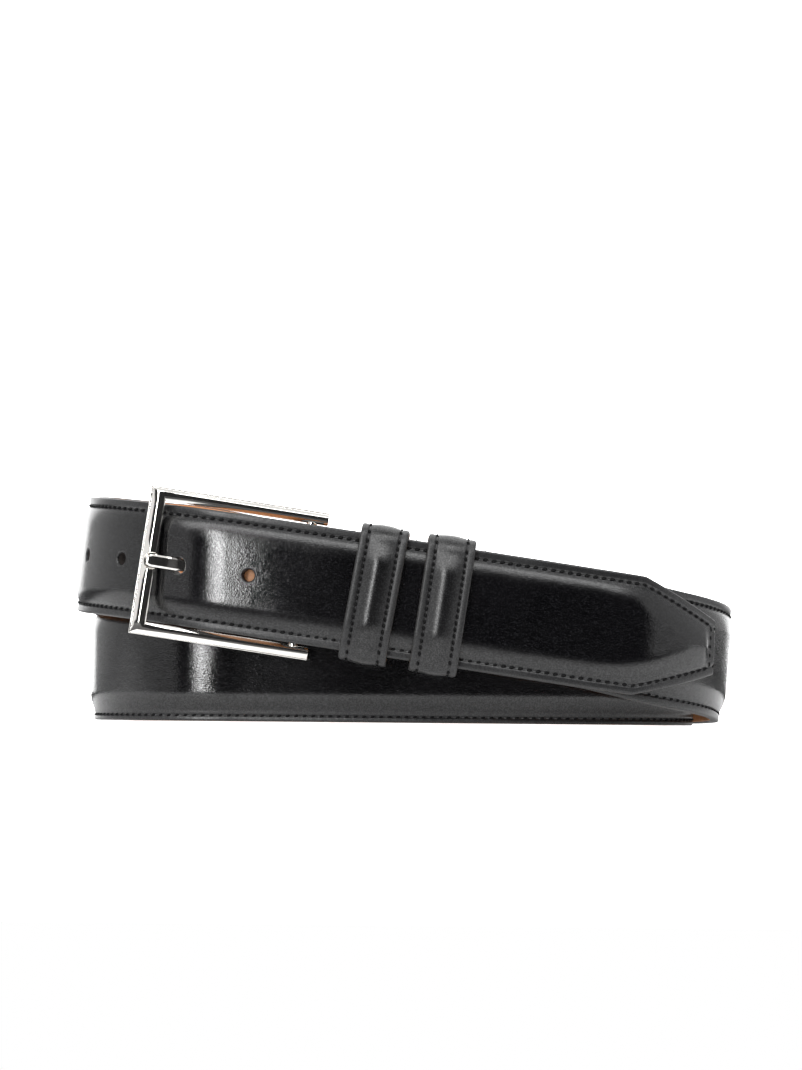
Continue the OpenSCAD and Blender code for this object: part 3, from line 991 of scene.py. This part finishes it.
def make_prong():
    """A flat shank that dips behind the leather, with a round end and an eye for the bar."""
    b = buckle_matrix()
    back = -1.05
    hw = PRONG_W / 2
    rings = []
    for x in PRONG_X:
        d = x - PRONG_X[-1]
        f = 1.0 if d > hw else math.sqrt(max(0.0, 1 - ((hw - d) / hw) ** 2))
        f = max(f, 0.16)
        w = hw * f
        drop = 0.18 * (1 - smooth(0, 3.0, d))
        dip = 1.25 * smooth(-41.0, -36.2, x) * (1 - smooth(-30, -20, x))
        t0, t1 = back - PRONG_T + dip + drop + 0.35 * (1 - f) ** 2, back + dip - 0.25 * (1 - f)
        e = min(0.5, 0.45 * w)
        section = [
            (t0, -(w - e)), (t0, w - e), (t0 + 0.42, w), (t1 - 0.25, w), (t1, w - 0.6 * e),
            (t1, -(w - 0.6 * e)), (t1 - 0.25, -w), (t0 + 0.42, -w),
        ]
        rings.append(moved(b, [(x, y, z) for y, z in section]))
    shank = loft("prong_metal", rings, NICKEL, 30)
    r0, r1 = BAR_R + 0.06, PRONG_T + 1.05
    section = [
        (r0, -hw + 0.15), (r0 + 0.15, -hw), (r1 - 0.3, -hw), (r1, -hw + 0.35), (r1, hw - 0.35),
        (r1 - 0.3, hw), (r0 + 0.15, hw), (r0, hw - 0.15),
    ]
    turns = whole_turn(56)
    loops = [moved(b, [(r * math.cos(a), r * math.sin(a), z) for r, z in section]) for a in turns]
    eye = loft("prong_eye", loops, NICKEL, 30, loop=True)
    bore = [moved(b, [(r0 * math.cos(a), r0 * math.sin(a), z) for a in turns]) for z in (-4, 4)]
    cut(shank, [loft("cutter_bore", bore, NICKEL)])
    cut(shank, [eye], "UNION")
    bevelled(shank, 0.08, 35)
    shank.data.set_sharp_from_angle(angle=math.radians(30))
    finish_piece(shank, ["prong"], "tongue")


make_buckle()
make_prong()
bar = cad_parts["pivot_bar"]
bar.data.materials.clear()
bar.data.materials.append(NICKEL)


# ---------------------------------------------------------------- fold and its stitches
def fold_height(q):
    """Height of the fold's outer face over the lining, as it comes down from the bar."""
    return -(2 * BAR_R + 0.3) * (1 - smooth(CHAPE, CHAPE + 0.13, q)) - 0.05


def make_fold():
    r = BAR_R + 1.1
    base = np.array(bar_matrix())
    hw = HALF - 0.2
    section = [
        (-1, -hw + 0.3), (-0.7, -hw), (0.7, -hw), (1, -hw + 0.3), (1, 0), (1, hw - 0.3), (0.7, hw),
        (-0.7, hw), (-1, hw - 0.3), (-1, 0),
    ]
    rings = []
    for x in (4.1, 3.0, 1.8, 0.8):
        rings.append(moved(base, [(x, -r - t, z) for t, z in section]))
    for a in np.linspace(-90, -270, 22):
        c, s = math.cos(math.radians(a)), math.sin(math.radians(a))
        rings.append(moved(base, [(c * (r + t), s * (r + t), z) for t, z in section]))
    for s in np.linspace(length_at(CHAPE + 0.024), length_at(CHAPE_PAD), 40):
        q = q_at(s)
        c, out, across, _ = axes(q)
        rings.append(np.array([c + out * (fold_height(q) - 1 - t) + across * z for t, z in section]))
    fold = loft("fold_leather", rings, FOLD_BLACK, 40)
    b = buckle_matrix()
    hw = PRONG_W / 2 + 0.4
    slot = [moved(b, [(x, -9, -hw), (x, 7, -hw), (x, 7, hw), (x, -9, hw)]) for x in (-9, 3.9)]
    cut(fold, [loft("cutter_slot", slot, FOLD_BLACK)])
    finish_piece(fold, ["chape_fold"])


def make_cross_stitches():
    """Three rows through the fold and the strap, wrapped round the strap's edges."""
    frames = []
    for x in (-18.2, 0.2, 20.4):
        q = x / QUARTER
        c, out, across, along = axes(q)
        inside = fold_height(q) - 2.0
        for k in range(13):
            w = (k - 6) * 2.6
            frames.append((c + out * (inside - 0.02) + across * w, -out, along, across))
            frames.append((c + out * (EDGE_T + 0.12) + across * w, out, along, across))
        for side in (-1, 1):
            for n in (0.6, 2.3):
                frames.append((c + out * n + across * side * (HALF + 0.12), side * across, along, out))
    threads = stitch_mesh(frames, CROSS_STITCH, "cross_stitch_threads", dip=0.3)
    finish_piece(threads, ["cross_stitches"])


make_fold()
make_cross_stitches()


# ---------------------------------------------------------------- floor, light and camera
CARD_BLACK = (0.004, 0.004, 0.0045, 1)


def plain(name, colour, rough, emission=0.0):
    """A matt surface; with emission, it also glows white."""
    mat, nt, bsdf = start_material(name)
    bsdf.inputs["Base Color"].default_value = colour
    bsdf.inputs["Roughness"].default_value = rough
    if emission:
        bsdf.inputs["Emission Color"].default_value = (1, 1, 1, 1)
        bsdf.inputs["Emission Strength"].default_value = emission
    return mat


def fading(name, start, end):
    """Black card that fades in between two places along Y."""
    mat, nt, bsdf = start_material(name)
    bsdf.inputs["Base Color"].default_value = CARD_BLACK
    bsdf.inputs["Roughness"].default_value = 0.9
    y = node(nt, "ShaderNodeSeparateXYZ", {0: position(nt)}).outputs["Y"]
    inputs = {0: y, 1: start, 2: end, 3: 0.0, 4: 1.0}
    share = node(nt, "ShaderNodeMapRange", inputs, interpolation_type="SMOOTHSTEP").outputs[0]
    clear = node(nt, "ShaderNodeBsdfTransparent").outputs[0]
    mix = node(nt, "ShaderNodeMixShader", {0: share, 1: clear, 2: bsdf.outputs[0]}).outputs[0]
    nt.links.new(mix, nt.nodes["Material Output"].inputs[0])
    return mat


def plane(name, size, location, rotation, material):
    bm = bmesh.new()
    bmesh.ops.create_grid(bm, x_segments=1, y_segments=1, size=0.5)
    mesh = bpy.data.meshes.new(name)
    bm.to_mesh(mesh)
    bm.free()
    mesh.materials.append(material)
    obj = bpy.data.objects.new(name, mesh)
    obj.scale = (size[0], size[1], 1)
    obj.location = location
    obj.rotation_euler = rotation
    bpy.context.scene.collection.objects.link(obj)
    return obj


def area_light(name, size, location, target, power):
    data = bpy.data.lights.new(name, "AREA")
    data.shape = "RECTANGLE"
    data.size, data.size_y = size
    data.energy = power
    obj = bpy.data.objects.new(name, data)
    obj.location = location
    obj.rotation_euler = (Vector(target) - Vector(location)).to_track_quat("-Z", "Y").to_euler()
    bpy.context.scene.collection.objects.link(obj)
    return obj


scene = bpy.context.scene
FLAT_DOWN, UPRIGHT = (0, 0, 0), (math.radians(90), 0, 0)
plane("floor", (30, 30), (0, 0, -0.0002), FLAT_DOWN, plain("floor_white", (0.85, 0.85, 0.85, 1), 0.6, 0.35))

# Dark cards, seen only in reflections: in front of the belt, before it and behind it
card_black = plain("card_black", CARD_BLACK, 0.9)
fading_black = fading("fading_black", -0.075, -0.16)
for card in (
    plane("dark_card", (3.0, 1.0), (0.4, -1.25, 0.47), UPRIGHT, card_black),
    plane("near_card", (3.0, 1.18), (0.4, -0.66, 0.0004), FLAT_DOWN, fading_black),
    plane("far_card", (3.0, 1.3), (0.0, 0.735, 0.0004), FLAT_DOWN, card_black),
):
    card.visible_camera = card.visible_shadow = card.visible_diffuse = False
glow = plain("backdrop_white", (0.8, 0.8, 0.8, 1), 0.8, 2.0)
plane("backdrop", (2.6, 3), (0, 1.6, 1.4), UPRIGHT, glow)

world = bpy.data.worlds.new("studio")
scene.world = world
world.use_nodes = True
sky = world.node_tree.nodes["Background"]
sky.inputs["Color"].default_value = (1, 1, 1, 1)
sky.inputs["Strength"].default_value = 1.0

area_light("key", (0.17, 0.7), (-0.437, -1.03, 0.24), (-0.05, -0.05, 0.03), 8.0)
area_light("top", (0.9, 0.5), (0.0, 0.1, 0.9), (0, 0, 0.03), 3.0)
area_light("front_top", (1.8, 0.3), (0.0, -0.75, 0.72), (0, 0, 0.03), 9.0)

# Camera fitted to the photo: focal length in its pixels, distance in metres
PIXELS_HIGH = 1070
FOCAL_PX = 3308.0
BELOW_CENTRE_PX = 177.7
DISTANCE = 1.018
SENSOR = 24.0
cam_data = bpy.data.cameras.new("camera")
cam_data.sensor_fit = "VERTICAL"
cam_data.sensor_height = SENSOR
cam_data.lens = FOCAL_PX / PIXELS_HIGH * SENSOR
cam_data.clip_start = 0.05
cam_data.clip_end = 20
cam = bpy.data.objects.new("camera", cam_data)
scene.collection.objects.link(cam)
cam.location = (-0.0013, 0.0025 - DISTANCE, 0.003)
pitch = math.atan(BELOW_CENTRE_PX / FOCAL_PX)
tilt = Matrix.Rotation(math.radians(90) + pitch, 3, "X")
roll = Matrix.Rotation(math.radians(0.55), 3, "Z")
cam.rotation_euler = (tilt @ roll).to_euler()
scene.camera = cam
scene.view_settings.view_transform = "Standard"
scene.view_settings.look = "None"
